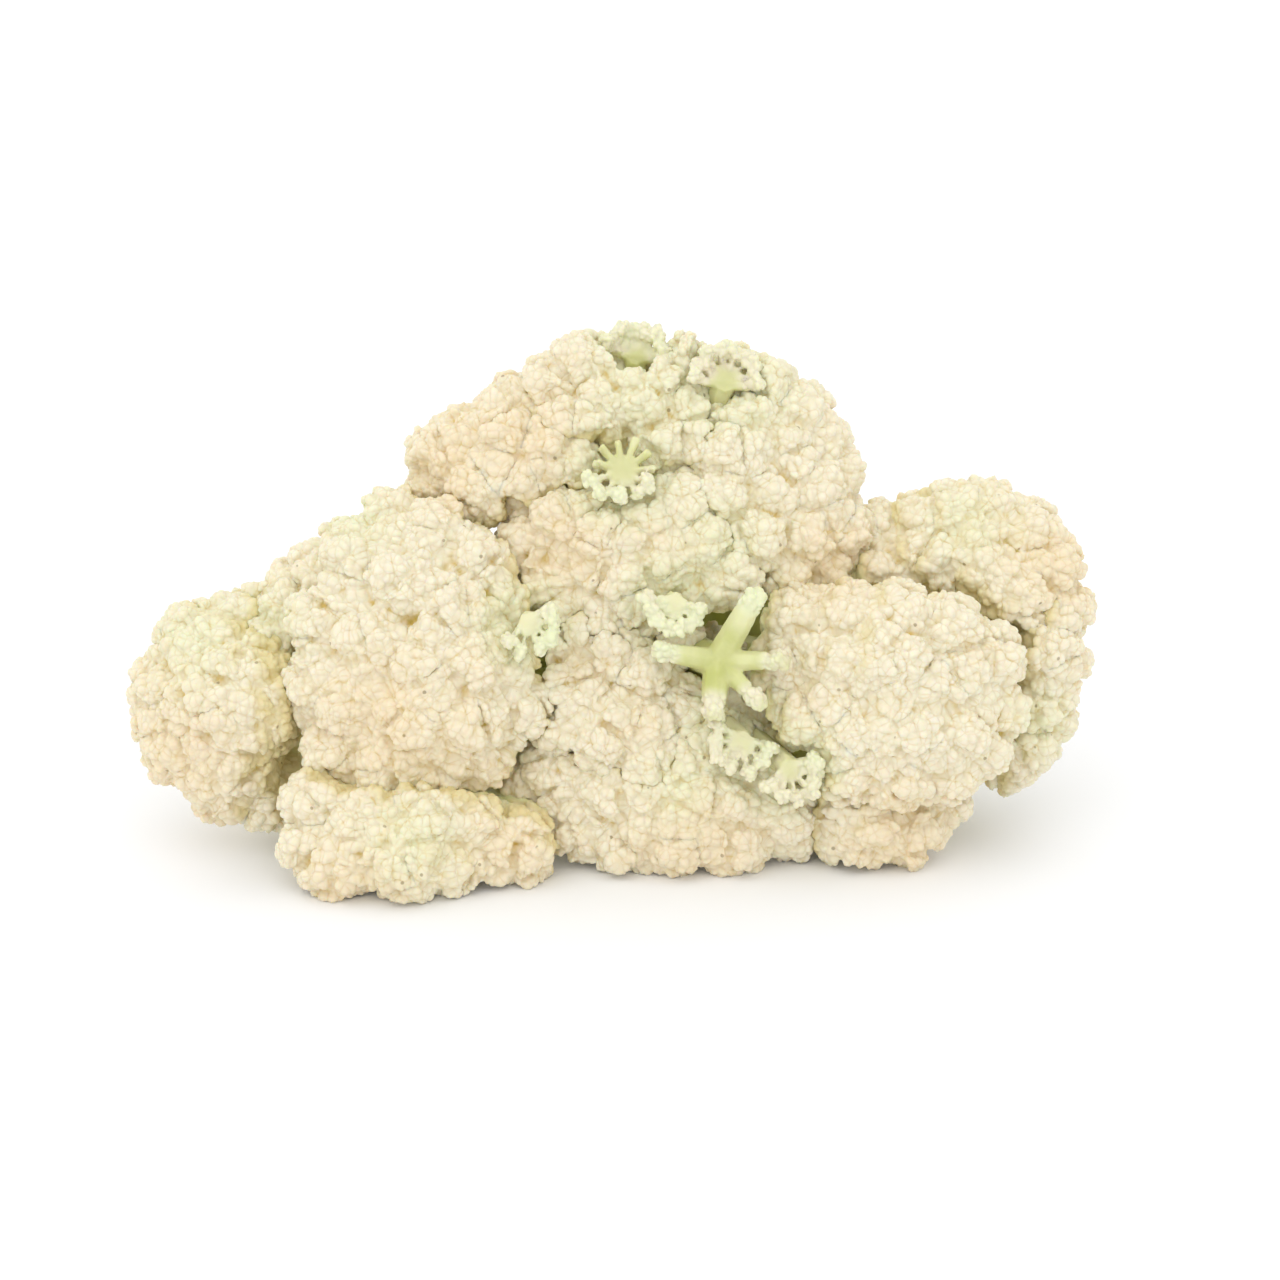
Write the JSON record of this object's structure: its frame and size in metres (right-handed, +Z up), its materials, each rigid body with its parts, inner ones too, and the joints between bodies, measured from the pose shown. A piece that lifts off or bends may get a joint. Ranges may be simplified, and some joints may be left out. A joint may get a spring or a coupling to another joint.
{
  "type": "cauliflower",
  "caption": "Trimmed head of cauliflower lying on its side, knobbly cream curd facing forward and the cut, branching stalk behind; fresh produce for kitchen, market and still-life scenes.",
  "frame": {"origin": "on the resting surface, under the middle of the head's bounding box", "axes": "+Z up, +X to the right as the crown is seen, the crown of curd facing -Y and the stump pointing towards +Y"},
  "size_m": [0.2504, 0.1362, 0.1316],
  "materials": {
    "curd": "matte, finely granular",
    "stem": "waxy, faintly fibrous"
  },
  "bodies": {
    "root": {"floret_top_left": "curd", "floret_top_right": "curd", "floret_top": "curd", "floret_upper_middle": "curd", "floret_middle_left": "curd", "floret_right": "curd", "floret_lower_left": "curd", "floret_centre": "curd", "floret_lower_middle": "curd", "floret_lower_right": "curd", "floret_left_shoulder": "curd", "floret_left": "curd", "floret_upper_right": "curd", "floret_far_right": "curd", "stalk": "stem"}
  },
  "joints": []
}
